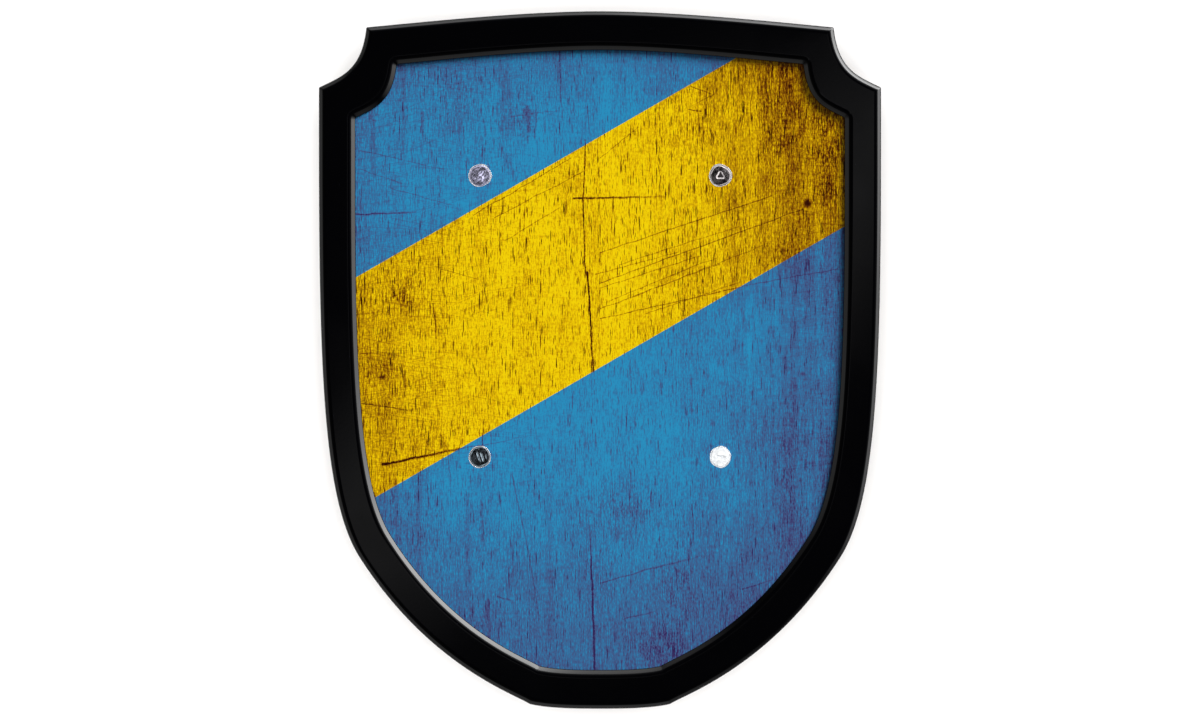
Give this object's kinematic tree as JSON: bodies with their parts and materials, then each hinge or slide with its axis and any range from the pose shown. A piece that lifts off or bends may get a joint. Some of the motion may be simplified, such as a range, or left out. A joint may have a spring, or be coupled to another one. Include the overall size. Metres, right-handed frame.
{
  "type": "toy heater shield",
  "caption": "Flat toy heater shield with scooped upper corners: a painted plywood panel in a raised black frame, with riveted arm straps behind.",
  "frame": {"origin": "on the surface that the two arm straps rest on, below the middle of the outline", "axes": "+X to the right as seen from the painted face with the top edge up, +Y to the top edge, +Z out of the painted face"},
  "size_m": [0.2418, 0.3, 0.04],
  "materials": {
    "frame_paint": "gloss black paint on wood",
    "panel_paint": "worn satin blue paint with a yellow diagonal band; bare plywood behind",
    "strap_leather": "dark brown smooth leather",
    "rivet_metal": "nickel-plated steel, a little wavy"
  },
  "bodies": {
    "root": {"frame": "frame_paint", "panel": "panel_paint", "arm_strap_left": "strap_leather", "arm_strap_right": "strap_leather", "rivet_upper_left": "rivet_metal", "rivet_lower_left": "rivet_metal", "rivet_upper_right": "rivet_metal", "rivet_lower_right": "rivet_metal"}
  },
  "joints": []
}
